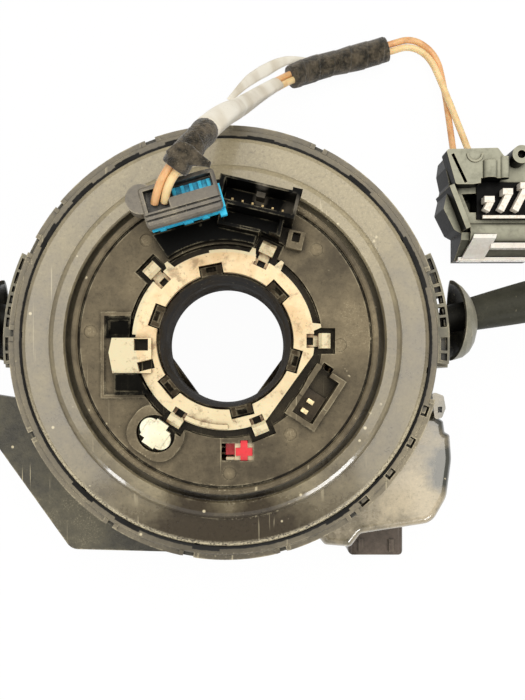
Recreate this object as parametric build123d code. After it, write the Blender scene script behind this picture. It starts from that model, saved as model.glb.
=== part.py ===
from build123d import *
import math
import os

os.makedirs("parts", exist_ok=True)

# Steering column switch module with its clock spring. Millimetres.
# Origin: bore axis, on the back face that lies on the surface. +Z points at the steering wheel,
# +X to the right hand stalk, +Y to the top of the wheel.

# ---------------------------------------------------------------- driving dimensions
# Radii about the bore axis
BORE_R = 16.2            # inner wall of the sleeve that the wheel hub enters
FLAT_R = 15.1            # distance of the keying flats from the axis
SLEEVE_R = 18.0          # outer wall of the sleeve
COLUMN_R = 19.0          # seat of the column jacket in the carrier collar
COLLAR_R = 21.2          # outer wall of the carrier collar
JOURNAL_R = 21.95        # rotor journal in the stator floor
JOURNAL_GAP = 0.05       # its running clearance
HUB_R = 23.6             # rotor hub that the flat cable winds on
OPENING_R = 24.8         # opening of the rotor face round the retaining ring
RING_IN_R = 17.5         # retaining ring
RING_OUT_R = 22.7
ROTOR_R = 39.2           # outer edge of the rotor face
RAISED_RIM_R = 37.6      # inner edge of the raised rim on the rotor face
COVER_IN_R = 40.9        # inner edge of the stator cover
COVER_STEP_R = 45.4      # step on the cover
COVER_OUT_R = 53.4       # outer edge of the cover
RIM_IN_R = 53.9          # inner edge of the castellated rim
RIM_R = 56.2             # outer edge of the rim between its lugs
LUG_R = 57.6             # outer face of the lugs
SHELL_R = 53.0           # outer wall of the carrier tray
CASSETTE_R = 52.5        # outer wall of the cassette
CABLE_IN_R = 25.2        # first turn of the flat cable
CABLE_OUT_R = 48.4       # last turn of the flat cable

# Heights above the back face
FLOOR_Z = 3.0            # carrier floor, top
SEAT_Z = 15.0            # end of the column seat
SLEEVE_Z = 17.0          # lower end of the sleeve
FLATS_Z = 21.5           # top of the two flats that key the hub
BORE_TOP_Z = 38.0        # the bore opens into a cone above this
TRAY_Z = 24.0            # top of the carrier tray, cassette floor starts
CHAMBER_Z = 26.0         # cassette floor, top
RIM_Z = 43.2             # top of the castellated rim
FACE_Z = 50.0            # rotor face
RING_Z = 48.3            # retaining ring, underside
RING_TOP_Z = 51.0        # retaining ring, top
HEADER_Z = 62.0          # top edge of the header sockets
SOCKET_FLOOR_Z = 52.2    # floor of the header sockets
PLUG_Z = 67.2            # top of the plug

# Stalks
STALK_ANGLE = 12.5       # stalk axis turned up from the X axis
PIVOT = (56.4, 6.0, 26.0)  # pivot of the right stalk, the left one mirrors it
STALK_LENGTH = 118.0     # from pivot to tip
DOME_R = 11.5            # dome collar near its open end
DOME_CUT = 7.2           # open end of the collar, beyond the pivot along X

# Positions on the rotor face: radius and angle from the X axis
LOCK_AT = (29.3, -126.7)
SIGNAL_AT = (27.1, -32.0)
SIGNAL_TURN = 57.0
MARK_AT = (3.15, -28.3)
HEADER_RIGHT = (35.3, 76.6)
HEADER_LEFT = (34.0, 106.0)
SOCKET_DEPTH = 5.1       # inside of a header socket across its long walls
HOOKS = ((25.0, 136.0), (24.9, 65.0), (24.4, 0.0), (23.0, -68.0), (22.9, -122.0))
EJECTOR_MARKS = ((-2.0, 29.4), (-55.0, 29.0), (128.0, 32.6), (45.0, 33.0), (-88.0, 33.8), (176.0, 34.4))
CLIP_ANGLES = (101.0, 43.0, -16.0, -76.5, -140.5, 160.0)
LUGS = ((20, 62.5), (66, 108.5), (112.5, 139), (142, 150.5), (156, 176), (179, 204), (207, 236), (239, 258),
        (262, 284), (287, 305), (308, 344))

# Open cells along the top of a switch block: start, end, floor height
BLOCK_CELLS = ((-4.4, -2.5, 34.6), (-1.8, 1.7, 34.6), (4.4, 6.9, 31.0), (7.6, 9.7, 31.0), (10.6, 12.7, 31.0),
               (13.6, 15.2, 34.6), (15.9, 19.0, 34.6), (19.7, 22.8, 34.6))

# The lead: route of its middle, and how far each wire lies from it at each point
LEAD_ROUTE = (
    (-15.0, 31.8, 65.65), (-14.0, 34.6, 69.6), (-10.4, 39.4, 71.4), (-4.3, 47.4, 69.0),
    (-0.4, 54.0, 60.8), (3.4, 61.8, 43.5), (9.6, 73.6, 21.5), (17.4, 83.0, 7.8),
    (27.0, 88.0, 4.6), (38.6, 90.7, 4.3), (50.0, 94.2, 3.9), (57.6, 97.0, 2.6),
    (64.6, 92.6, 2.2), (67.6, 83.2, 2.4), (69.8, 72.8, 4.4), (72.2, 59.0, 8.0),
)
WIRE_OFFSETS = (
    (1.2, 0.2, 0.0), (1.0, -0.3, 0.2), (0.8, -0.7, 0.3), (0.8, -0.7, 0.2),
    (1.0, -0.4, 0.0), (1.0, -0.4, 0.0), (0.9, -0.6, 0.0), (0.7, -0.8, 0.1),
    (0.3, -1.1, 0.1), (0.2, -1.1, 0.2), (0.2, -1.1, 0.0), (-0.5, -1.3, 0.1),
    (-1.2, -0.5, 0.6), (-0.6, -0.1, 1.2), (0.6, 0.0, 1.2), (2.6, 0.0, 0.0),
)
WIRE_R = 1.0
TAPE_R = 3.2
FAR_TAPE_R = 3.8
LABEL_R = 3.5
# Wrapped stretches: first and last route point used, and where in those end runs they stop
NEAR_TAPE = (1, 3, 0.9, 0.88)
LABEL = (3, 7, 0.12, 0.62)
FAR_TAPE = (7, 10, 0.2, 0.95)


# ---------------------------------------------------------------- small helpers
def block(size_x, size_y, low_z, high_z):
    """Box centred on the Z axis between two heights."""
    return Pos(0, 0, (low_z + high_z) / 2) * Box(size_x, size_y, high_z - low_z)


def disc(radius, low_z, high_z):
    return Pos(0, 0, (low_z + high_z) / 2) * Cylinder(radius, high_z - low_z)


def ring(inner_r, outer_r, low_z, high_z):
    return disc(outer_r, low_z, high_z) - disc(inner_r, low_z - 1, high_z + 1)


def turned(points):
    """Solid of revolution about Z from (radius, height) points."""
    outline = Polyline(*[(r, 0, z) for r, z in points], close=True)
    return revolve(make_face(outline), Axis.Z)


def sector(inner_r, outer_r, start, end, low_z, high_z):
    """Part of a ring between two angles, counter-clockwise."""
    middle = ((inner_r + outer_r) / 2, (low_z + high_z) / 2)
    profile = Plane.XZ * Pos(*middle) * Rectangle(outer_r - inner_r, high_z - low_z)
    return Rot(0, 0, start) * revolve(profile, Axis.Z, end - start)


def polar(radius, angle, turn=0.0):
    """Place at a radius and angle, local X pointing outwards, then turned in place."""
    return Rot(0, 0, angle) * Pos(radius, 0, 0) * Rot(0, 0, turn)


def plate(points, low_z, high_z, corner=0.0):
    """Extruded outline with rounded upright corners."""
    face = make_face(Polyline(*points, close=True))
    solid = Pos(0, 0, low_z) * extrude(face, high_z - low_z)
    if corner:
        solid = fillet(solid.edges().filter_by(Axis.Z), corner)
    return solid


def save(shape, name):
    shape.label = name
    export_step(shape, f"parts/{name}.step")


# ---------------------------------------------------------------- fixed to the column
def carrier_bosses():
    return [polar(45.6, angle) for angle in (35.0, 145.0, 215.0, 325.0)]


def lower_flange():
    """Flat wing at the lower left, with a rounded corner and stiffening ribs beneath."""
    outline = ((-68, -14), (-68, -27.0), (-45.2, -58.8), (-8, -59.8), (9, -58.8), (22, -53), (-30, -20))
    wing = plate(outline, 18.5, 23.0)
    corner = wing.edges().filter_by(Axis.Z).sort_by_distance((-45.2, -58.8, 20))[0]
    wing = fillet(corner, 4.0)
    for x in (-58, -48, -38, -26, -12, 2):
        low = -57.2 if x > -45 else -58.8 + (-45.2 - x) * 1.39 + 2.5
        wing += Pos(x, (low - 20) / 2, 13.5) * Box(1.6, -20 - low, 10)
    return wing - disc(SHELL_R - 0.5, 0, 30)


def switch_carrier():
    tray = turned((
        (COLUMN_R, 0), (SHELL_R - 1, 0), (SHELL_R, 1), (SHELL_R, TRAY_Z), (50.5, TRAY_Z),
        (50.5, FLOOR_Z), (COLLAR_R, FLOOR_Z), (COLLAR_R, 21.0), (COLUMN_R + 0.7, 21.0),
        (COLUMN_R + 0.7, SEAT_Z), (COLUMN_R, SEAT_Z)))
    tray += lower_flange()
    for place in carrier_bosses():
        tray += place * disc(4.0, FLOOR_Z, TRAY_Z)
        tray += place * Pos(3.5, 0, 0) * block(5.0, 1.6, FLOOR_Z, TRAY_Z - 4)
        tray -= place * disc(1.55, -1, TRAY_Z + 1)
        tray -= place * disc(3.4, -1, 2.6)
    for angle in range(0, 360, 30):
        tray += polar(23.6, angle) * block(5.4, 1.4, FLOOR_Z, 8.0) - disc(COLLAR_R - 0.5, 0, 30)
    for angle in range(15, 360, 30):
        tray -= sector(26, 43, angle - 10, angle + 10, -1, 0.8)
    socket_cut = Pos(44.0, -54.0, 0) * block(16.6, 18.0, 4.0, 16.6)
    return tray - socket_cut


def snap_windows():
    """Four snap windows in the rim: a slot round a small tab."""
    for angle in (-19.0, -28.4, -38.6, -48.9):
        tab = Pos(-0.1, 0.2, 0) * block(1.0, 1.7, RIM_Z - 4, RIM_Z - 1.3)
        yield polar(55.7, angle) * (block(1.9, 2.8, RIM_Z - 3.6, RIM_Z + 1) - tab)


def stator_housing():
    """Cassette floor and wall, with the castellated rim that the cover snaps into."""
    shell = turned((
        (JOURNAL_R + JOURNAL_GAP, TRAY_Z), (CASSETTE_R, TRAY_Z), (CASSETTE_R, 38.5), (54.8, 38.5),
        (54.8, 33.4), (RIM_R, 33.4), (RIM_R, RIM_Z - 0.4), (RIM_R - 0.4, RIM_Z), (RIM_IN_R, RIM_Z),
        (RIM_IN_R, 41.0), (50.2, 41.0), (50.2, CHAMBER_Z), (JOURNAL_R + JOURNAL_GAP, CHAMBER_Z)))
    for start, end in LUGS:
        lug = sector(RIM_R - 0.3, LUG_R, start, end, 33.4, RIM_Z - 0.9)
        shell += lug
        for edge in (start, end):
            shell += polar(RIM_R + 0.4, edge) * block(1.6, 1.2, 33.4, RIM_Z - 0.3)
    for slot in snap_windows():
        shell -= slot
    for place in carrier_bosses():
        shell -= place * disc(1.45, TRAY_Z - 1, CHAMBER_Z + 1)
    return shell


def stator_cover():
    """Stepped annular cover: a flat outer band, a steep step, and a thin lip beside the rotor."""
    cover = turned((
        (COVER_IN_R, 49.3), (COVER_IN_R + 0.5, 49.8), (COVER_STEP_R - 1.4, 49.4), (COVER_STEP_R - 0.5, 49.0),
        (COVER_STEP_R, 48.2), (COVER_STEP_R + 0.5, 46.8), (COVER_OUT_R - 1.4, 46.4), (COVER_OUT_R - 0.5, 45.9),
        (COVER_OUT_R, 44.7), (COVER_OUT_R, 41.0), (51.4, 41.0), (51.4, 43.8), (COVER_STEP_R, 45.3),
        (COVER_STEP_R - 1.4, 48.0), (COVER_IN_R, 48.3)))
    cover += ring(44.2, 45.2, 41.8, 46.5) + ring(36.6, 45.0, 41.8, 43.0)
    for angle in (152.0, 164.0, 178.0, 226.0, 262.0, 318.0, 352.0, 30.0, 74.0):
        cover -= polar(COVER_OUT_R, angle) * block(1.0, 1.6, 43.4, 46.6)
    return cover


def flat_cable():
    """Ribbon wound on the hub as a spiral of half circles about two centres."""
    thick = 0.45
    half_turns = 14
    growth = (CABLE_OUT_R - CABLE_IN_R) / half_turns
    inner, outer = [], []
    for k in range(half_turns):
        centre = growth / 2 if k % 2 else 0.0
        radius = CABLE_IN_R + growth / 2 * k
        side = -1 if k % 2 else 1
        for points, r in ((inner, radius), (outer, radius + thick)):
            points.append(((centre + side * r, 0), (centre, side * r), (centre - side * r, 0)))
    walls = [ThreePointArc(*arc) for arc in inner] + [ThreePointArc(*arc) for arc in outer]
    walls.append(Line(inner[0][0], outer[0][0]))
    walls.append(Line(inner[-1][2], outer[-1][2]))
    return Pos(0, 0, 28.0) * extrude(make_face(Wire(walls)), 12.0)


def circuit_board():
    board = ring(27.5, 48.5, 9.0, 10.6)
    for place in carrier_bosses():
        board -= place * disc(4.6, 8, 12)
    return board - Pos(44.0, -44.0, 0) * block(17.2, 20.0, 8.0, 12.0)


def board_parts():
    parts = []
    for angle, radius, size_r, size_t, tall in (
            (10, 38, 9, 9, 1.6), (60, 40, 4, 6, 3.0), (90, 37, 12, 7, 2.2), (120, 40, 4, 4, 4.0),
            (170, 38, 8, 8, 1.6), (250, 38, 5, 8, 2.4), (280, 41, 4, 4, 5.0)):
        parts.append(polar(radius, angle) * block(size_r, size_t, 10.6, 10.6 + tall))
    return Compound(children=parts)


def vehicle_socket():
    shroud = Pos(44.0, -53.4, 0) * block(16.4, 17.0, 4.1, 16.4)
    corners = shroud.edges().filter_by(Axis.Z).sort_by(Axis.Y)[:2]
    shroud = fillet(shroud.edges().filter_by(Axis.Y) + corners, 1.5)
    shroud -= Pos(44.0, -57.0, 10.25) * Box(13.4, 12.0, 9.3)
    shroud += Pos(44.0, -55.5, 14.7) * Box(3.0, 12.6, 0.8)
    for x in (39.5, 48.5):
        shroud += Pos(x, -59.0, 16.7) * Box(1.4, 3.6, 0.9)
    return shroud


def vehicle_pins():
    pins = []
    for column in range(5):
        for row in range(2):
            spot = Pos(39.0 + 2.5 * column, -49.9, 8.6 + 3.2 * row)
            pins.append(spot * Box(0.7, 5.8, 0.7))
    return Compound(children=pins)


def rounded(points, radii):
    """Face from an outline whose corners have their own radii; 0 leaves a corner sharp."""
    face = make_face(Polyline(*points, close=True))
    for point, radius in zip(points, radii):
        if radius:
            vertex = face.vertices().sort_by_distance((*point, 0))[0]
            face = fillet(vertex, radius)
    return face


def side_cover():
    """Glossy shroud at the lower right: a crowned shell with one folded end."""
    outline = ((50.0, -16.5), (58.0, -19.6), (60.6, -21.4), (61.0, -24.4), (62.4, -25.2), (62.9, -32.0),
               (61.5, -42.6), (57.4, -49.8), (37.4, -52.9), (34.6, -56.6), (27.4, -56.0), (20.0, -47.0))
    outer_face = rounded(outline, (0, 1.5, 0.8, 0.6, 0.8, 12.0, 8.0, 5.0, 1.4, 1.4, 1.5, 0))
    outer = Pos(0, 0, 17.2) * extrude(outer_face, 15.2)
    centres = [(edge, edge.center()) for edge in outer.edges()]
    outer = fillet([edge for edge, spot in centres if spot.Z > 32.3 and spot.X > 36 and spot.Y < -22], 2.4)
    inner = plate(((48, -19), (57.5, -22.0), (60.8, -25.4), (61.1, -31.6), (59.7, -41.2), (55.6, -48.6),
                   (36.2, -51.4), (33.0, -54.6), (30.0, -54.4), (22.0, -46.0)), 10.0, 28.6)
    shell = outer - inner - disc(SHELL_R, 0, 40)
    lug = plate(((56.2, -13.0), (59.4, -14.2), (60.0, -17.6), (59.0, -20.2), (57.0, -20.8)), 20.0, 35.6, 0.8)
    lug -= Pos(58.4, -18.0, 0) * block(1.2, 1.6, 30.0, 40.0)
    return shell + lug - disc(SHELL_R, 0, 40) - ring(54.0, LUG_R + 0.2, 33.0, 40.0)


def carrier_screws():
    screws = []
    for place in carrier_bosses():
        screw = disc(3.1, 0.5, 2.6) + disc(1.45, 2.5, CHAMBER_Z)
        screw -= star_cut(0.5)
        screws.append(place * screw)
    return Compound(children=screws)


def star_cut(low_z):
    """Hexagonal drive recess."""
    return Pos(0, 0, low_z - 0.1) * extrude(RegularPolygon(1.5, 6), 1.3)


# ---------------------------------------------------------------- stalks
def stalk_place(side):
    """Frame of a stalk: origin on its pivot, local X along the lever, outwards."""
    turn = STALK_ANGLE if side > 0 else 180 - STALK_ANGLE
    return Pos(side * PIVOT[0], PIVOT[1], PIVOT[2]) * Rot(0, 0, turn)


def switch_block(side):
    """Curved holder beside the cassette; open cells along its top, a window for the stalk."""
    first, last = -6.0, 24.0
    holder = sector(SHELL_R, 61.6, first, last, 9.0, 32.6)
    holder += sector(57.9, 61.0, first + 0.8, last, 32.6, 36.0)
    for start, end, floor_z in BLOCK_CELLS:
        holder -= sector(58.6, 60.4, start, end, floor_z, 37.0)
    for start, end, _ in BLOCK_CELLS[2:5]:
        holder -= sector(60.0, 62.0, start + 0.4, end - 0.4, 33.0, 34.6)
    for k in range(6):
        holder -= sector(60.8, 62.0, first + 1.5 + 5.0 * k, first + 3.5 + 5.0 * k, 10.5, 17.5)
    if side < 0:
        holder = mirror(holder, Plane.YZ)
    place = stalk_place(side)
    holder -= place * Pos(3.5, 0, -0.8) * Box(13.4, 12.8, 11.6)
    holder -= place * disc(1.56, -9.5, 8.0)
    return holder


def cradle(side):
    """Yoke that swings on upright trunnions and carries the stalk's cross pin."""
    yoke = block(4.4, 11.2, -6.2, 4.6) - block(6.0, 5.2, -4.7, 3.2)
    yoke += disc(1.5, -8.6, -6.0) + disc(1.5, 4.4, 6.2)
    yoke -= Rot(90, 0, 0) * Cylinder(1.2, 14)
    return stalk_place(side) * yoke


def stalk_pin(side):
    return stalk_place(side) * Rot(90, 0, 0) * Cylinder(1.2, 11.0)


def lever_section(distance, half_width, half_height):
    plane = Plane(origin=(distance, 0, 0), x_dir=(0, 1, 0), z_dir=(1, 0, 0))
    return plane * Ellipse(half_width, half_height)


def stalk(side):
    """Tongue on the cross pin, round neck, and a lever that widens to a rounded paddle."""
    tongue = Pos(2.2, 0, 0) * Box(8.0, 4.6, 4.8)
    tongue += Rot(90, 0, 0) * Cylinder(2.4, 4.6)
    tongue -= Rot(90, 0, 0) * Cylinder(1.26, 8)
    neck = Pos(9.6, 0, 0) * Rot(0, 90, 0) * Cylinder(4.0, 8.0)
    stations = ((13.4, 4.7, 4.3), (28.0, 5.8, 4.8), (50.0, 6.9, 5.2), (80.0, 7.6, 5.4),
                (STALK_LENGTH - 7.0, 7.4, 5.2))
    lever = loft([lever_section(*station) for station in stations])
    tip = loft([lever_section(STALK_LENGTH - 7.0, 7.4, 5.2), lever_section(STALK_LENGTH - 2.4, 6.4, 4.4),
                lever_section(STALK_LENGTH, 3.6, 2.4)])
    return stalk_place(side) * (tongue + neck + lever + tip)


def dome(side):
    """Shroud that hides the window; open towards the holder, seated on the stalk's neck."""
    outer = ((3.4, DOME_R + 0.2), (6.0, DOME_R + 0.2), (8.2, DOME_R), (10.0, 10.6), (11.6, 8.9), (12.8, 6.8),
             (13.4, 5.6))
    inner = ((13.4, 4.0), (11.9, 4.0), (11.4, 6.6), (10.6, 8.4), (9.4, 9.8), (8.0, 10.6), (3.4, 10.8))
    outline = Polyline(*[(x, r, 0) for x, r in outer + inner], close=True)
    shell = revolve(make_face(outline), Axis.X)
    mouth = Rot(0, 0, -side * STALK_ANGLE) * Pos(DOME_CUT, 0, 0)
    shell -= mouth * Pos(-10, 0, 0) * Box(20, 40, 40)
    for half in (1, -1):
        shell -= mouth * Rot(0, 9 * half, 0) * Pos(-10, 0, 10 * half) * Box(20, 40, 20)
    return stalk_place(side) * shell


# ---------------------------------------------------------------- turning with the wheel
def hook_windows():
    for radius, angle in HOOKS:
        yield polar(radius + 0.9, angle) * block(5.6, 6.6, 47.3, 60)


def latch_channel(gap=0.0):
    """Bodies of the latch bar beside the ring; the rotor's channel is wider and deeper by the gap."""
    left, low_y, low_z = -30.3 - gap, -13.6 - gap, 47.5 - gap
    upper = plate(((left, 6.0 + gap), (left, 0.8), (-24.4, 0.8), (-23.9, 6.0 + gap)), low_z, 50.5)
    lower = plate(((left + 2.5, -8.4), (left + 2.5, low_y), (-18.8, low_y), (-21.8, -8.4)), low_z, 52.4)
    bridge = plate(((left + 1.7, 1.0), (left + 1.7, -8.6), (-24.6, -8.6), (-24.6, 1.0)), low_z, 49.6)
    return upper, lower, bridge


def rotor_disc():
    """Rotor face with its hub; pockets for the hooks, lock, mark, latch and signal plug."""
    body = turned((
        (SLEEVE_R, 23.4), (JOURNAL_R, 23.4), (JOURNAL_R, 26.3), (HUB_R, 26.3), (HUB_R, 44.5),
        (HUB_R + 2.0, 46.5), (ROTOR_R - 1.6, 46.5), (ROTOR_R - 1.6, 44.1), (ROTOR_R - 0.6, 44.1),
        (ROTOR_R - 0.6, 49.0), (ROTOR_R, 49.4), (ROTOR_R, 50.4), (ROTOR_R - 0.4, 50.8),
        (RAISED_RIM_R + 0.4, 50.8), (RAISED_RIM_R, 50.4), (RAISED_RIM_R, FACE_Z - 0.8),
        (RAISED_RIM_R - 0.6, FACE_Z - 0.8), (RAISED_RIM_R - 0.6, FACE_Z),
        (OPENING_R, FACE_Z), (OPENING_R, 47.5), (SLEEVE_R, 47.5), (SLEEVE_R, 45.4), (HUB_R - 2.0, 45.4),
        (HUB_R - 2.0, 26.6), (SLEEVE_R, 26.6)))
    lock = polar(*LOCK_AT) * Rot(0, 0, 92)
    boss = lock * Pos(0, 0, 48.0) * extrude(RectangleRounded(14.2, 12.6, 5.2), 3.8)
    body += boss - disc(OPENING_R, 40, 60)
    body += lock * disc(4.9, 41.2, 47.0)
    body -= lock * Pos(0, 0, 48.1) * extrude(Ellipse(5.0, 4.6), 8.0)
    body -= lock * disc(2.45, 46.4, 50)
    body -= lock * disc(3.4, 42.0, 46.5)
    signal = polar(*SIGNAL_AT) * Rot(0, 0, SIGNAL_TURN - SIGNAL_AT[1])
    body += signal * block(15.0, 8.8, 44.6, 52.2) - disc(OPENING_R - 1.8, 40, 60)
    body -= signal * block(12.4, 6.0, 46.0, 60)
    body -= signal * Pos(7.0, 1.4, 0) * block(3.4, 3.0, 46.0, 60)
    body -= signal * Pos(-5.0, 0, 0) * block(7.0, 10.0, 51.6, 60)
    body -= Pos(*MARK_AT, 0) * (block(8.1, 4.4, 40, 60) + Pos(1.7, 0.35, 0) * block(2.2, 5.3, 40, 60))
    for window in hook_windows():
        body -= window
    frame = plate(((-31.6, 7.4), (-31.6, -14.6), (-19.5, -14.6), (-19.5, 7.4)), FACE_Z - 1, 50.7)
    frame -= plate(((-30.7, 6.4), (-30.7, -13.7), (-15.0, -13.7), (-15.0, 6.4)), 40, 60)
    body += frame - disc(OPENING_R, 40, 60)
    for part in latch_channel(0.15):
        body -= part
    for angle, radius in EJECTOR_MARKS:
        body -= polar(radius, angle) * disc(1.7, FACE_Z - 0.2, FACE_Z + 1)
    return body.solids().sort_by(SortBy.VOLUME)[-1]


def ring_latch():
    """Bar that locks the ring: two ends stand beside the ivory pad, joined beneath it."""
    upper, lower, bridge = latch_channel()
    upper -= Pos(-27.0, 3.4, 50.4) * Box(5.0, 3.6, 0.8)
    lower += plate(((-27.8, -12.8), (-27.8, -13.6), (-19.3, -13.6), (-19.7, -12.8)), 52.0, 52.9)
    return upper + lower + bridge


def column_sleeve():
    """Tube through the bore: cone at the top, two flats at the lower end, six clips."""
    tube = turned((
        (BORE_R + 0.5, SLEEVE_Z), (SLEEVE_R, SLEEVE_Z), (SLEEVE_R, 47.5), (19.4, 47.5), (19.4, RING_Z),
        (RING_IN_R - 0.1, RING_Z), (RING_IN_R - 0.3, 48.9), (BORE_R + 0.7, 48.9), (BORE_R, BORE_TOP_Z),
        (BORE_R, FLATS_Z), (BORE_R + 0.5, FLATS_Z)))
    inside = disc(BORE_R + 0.6, SLEEVE_Z, FLATS_Z)
    for angle in (-36.0, 216.0):
        tube += inside & (polar(FLAT_R + 5, angle) * block(10.0, 40.0, SLEEVE_Z, FLATS_Z))
    for angle in CLIP_ANGLES:
        clip = Pos(18.1, 0, 0) * block(2.4, 5.4, RING_Z - 0.3, 50.4)
        clip += Pos(17.3, 0, 0) * block(0.8, 3.0, 50.0, 51.3)
        clip -= Pos(18.5, 0, 0) * block(1.2, 2.6, 49.6, 53)
        tube += Rot(0, 0, angle) * clip
    for angle in (178.0, -2.5):
        tube += polar(BORE_R + 0.85, angle) * block(0.7, 2.6, 47.0, 49.4)
    return tube


def retaining_ring():
    """Flat ring with hooks that snap into the rotor face, and a broad side pad."""
    body = ring(RING_IN_R, RING_OUT_R, RING_Z, RING_TOP_Z)
    body += sector(RING_OUT_R - 1, 23.6, 128.0, 176.0, RING_Z, RING_TOP_Z)
    body += sector(RING_OUT_R - 1, 23.3, 70.0, 100.0, RING_Z, RING_TOP_Z)
    body -= polar(20.3 + 5, -35.7) * block(10.0, 44.0, RING_Z - 1, RING_TOP_Z + 1)
    body += sector(21.3, 22.4, 238.0, 272.0, RING_TOP_Z - 1, RING_TOP_Z + 0.7)
    for radius, angle in HOOKS:
        reach = radius + 0.6 - 20.8
        arm = Pos(20.8 + reach / 2, 0, 0) * block(reach, 2.8, RING_Z, 49.2)
        body -= Rot(0, 0, angle) * Pos(22.2, 0, 0) * block(3.0, 3.6, 49.2, 60)
        head = Pos(radius + 0.9, 0, 0) * block(3.0, 3.8, RING_Z, 51.7)
        head = chamfer(head.edges().filter_by(Axis.Y).sort_by(Axis.Z)[-2:], 0.8)
        body += Rot(0, 0, angle) * (arm + head)
        body -= Rot(0, 0, angle) * Pos(21.7, 0, 0) * block(1.7, 2.0, 40, 60)
    for angle, length in ((72.5, 2.0), (54.0, 2.2), (127.0, 2.2), (9.0, 2.0)):
        tooth = ((-1.1, -1.3), (-1.1, 1.3), (length, 0.45), (length, -0.45))
        body += polar(RING_OUT_R, angle) * plate(tooth, RING_TOP_Z - 1.6, RING_TOP_Z)
    pad = ((-28.6, 0.7), (-29.4, -3.0), (-28.4, -8.2), (-18.6, -8.2), (-18.6, 0.7))
    body += plate(pad, 50.0, 52.0)
    body -= Pos(-21.2, -1.0, 0) * block(3.6, 3.0, 40, 60)
    body -= Pos(-20.0, -6.2, 0) * Rot(0, 0, 14) * block(4.0, 2.4, 40, 60)
    for angle in CLIP_ANGLES:
        body -= polar(18.2, angle) * block(3.2, 6.0, 40, 60)
    return body


def socket_shell(place, offset, length):
    shell = place * Pos(-0.22, 0, 0) * block(SOCKET_DEPTH + 1.55, length + 2.2, FACE_Z, HEADER_Z)
    pocket = place * Pos(0, offset, 0) * block(SOCKET_DEPTH, length, SOCKET_FLOOR_Z, HEADER_Z + 1)
    return shell, pocket


def wheel_header():
    """Chevron of two upright sockets on a low dark base, with a framed chamber and a hollow post."""
    right, right_pocket = socket_shell(polar(*HEADER_RIGHT), -0.3, 17.6)
    left, left_pocket = socket_shell(polar(*HEADER_LEFT), 0.7, 16.8)
    body = right + left
    body += sector(25.3, 32.0, 73.0, 124.5, FACE_Z, 53.2)
    chamber = polar(30.0, 77.4) * block(5.2, 15.8, FACE_Z, 58.0)
    chamber -= polar(30.0, 77.4) * block(3.6, 14.0, 54.0, 60)
    body += chamber - (polar(*HEADER_RIGHT) * block(SOCKET_DEPTH, 19.0, 50, 70))
    body = body - right_pocket - left_pocket
    body += Pos(17.6, 25.6, 0) * Rot(0, 0, -13) * (block(4.6, 4.8, FACE_Z, 56.2) - block(1.9, 2.6, 52, 60))
    body += polar(36.7, 75.8) * block(1.3, 2.2, FACE_Z + 1, 57.4)
    body += polar(*HEADER_RIGHT) * Pos(3.3, -9.0, 0) * block(1.2, 2.4, 56.0, HEADER_Z)
    for window in hook_windows():
        body -= window
    body -= ring(RAISED_RIM_R - 0.7, 50.0, FACE_Z - 1, 50.9)
    body -= ring(ROTOR_R - 0.4, 50.0, FACE_Z - 1, 51.4)
    return body.solids().sort_by(SortBy.VOLUME)[-1]


def header_pins():
    pins = []
    for k in range(6):
        spot = polar(*HEADER_RIGHT) * Pos(-1.2, 6.35 - 2.54 * k - 0.3, 0)
        pins.append(spot * block(0.5, 0.5, SOCKET_FLOOR_Z, 57.4))
    return Compound(children=pins)


def airbag_plug():
    """Plug with a nose in the socket, a ribbed hood and a window for the wires."""
    place = polar(*HEADER_LEFT) * Pos(0, 0.7, 0)
    nose = block(SOCKET_DEPTH - 0.2, 16.6, FACE_Z + 3.2, HEADER_Z + 0.2)
    hood = block(9.8, 18.6, HEADER_Z + 0.05, PLUG_Z)
    hood = fillet(hood.edges().filter_by(Axis.Z), 1.0)
    hood = chamfer(hood.faces().sort_by(Axis.Z)[-1].edges(), 0.5)
    cap = Pos(2.4, 9.0, 0) * disc(3.6, HEADER_Z + 0.05, PLUG_Z - 0.4)
    body = nose + hood + cap
    body -= Pos(2.3, -0.6, 0) * block(3.0, 15.4, 64.6, 70)
    body -= Pos(1.2, 5.4, 0) * block(5.2, 5.4, 65.0, 70)
    body += Pos(4.2, -2.6, 0) * block(0.9, 9.4, 66.0, PLUG_Z + 0.6)
    for x in (-2.1, -3.3):
        body -= Pos(x, 0, 0) * block(0.5, 19.0, PLUG_Z - 0.6, 70)
    body -= Pos(-4.3, 0, 0) * block(2.6, 17.4, HEADER_Z + 0.7, 64.6)
    body -= Pos(-1.7, -9.2, 0) * block(6.4, 1.2, HEADER_Z + 0.7, 66.0)
    return place * body


def plug_lock():
    """Terminal lock: a stepped bar along the inner side, and a comb in the wire window."""
    place = polar(*HEADER_LEFT) * Pos(0, 0.7, 0)
    body = Pos(-4.25, 0, 0) * block(2.5, 17.0, HEADER_Z + 0.8, 64.5)
    for y, length in ((-7.0, 3.0), (-2.6, 2.2), (3.0, 4.4), (7.6, 1.8)):
        body -= Pos(-5.45, y, 0) * block(0.5, length, HEADER_Z, 65)
    body += Pos(-1.6, -9.2, 0) * block(5.6, 1.1, HEADER_Z + 0.8, 65.8)
    body += Pos(-4.6, -8.9, 0) * block(3.0, 1.6, HEADER_Z + 0.8, 64.5)
    comb = Pos(2.1, -3.2, 0) * block(2.0, 9.6, 64.6, 65.0)
    for k in range(5):
        comb += Pos(2.0, -7.4 + 2.1 * k, 0) * block(1.8, 0.8, 64.6, 66.0)
    return place * body, place * comb


def signal_contacts():
    signal = polar(*SIGNAL_AT) * Rot(0, 0, SIGNAL_TURN - SIGNAL_AT[1])
    contacts = [signal * Pos(x, 0.4, 0) * block(1.1, 1.8, 46.0, 50.2) for x in (-1.6, -4.4)]
    return Compound(children=contacts)


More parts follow.
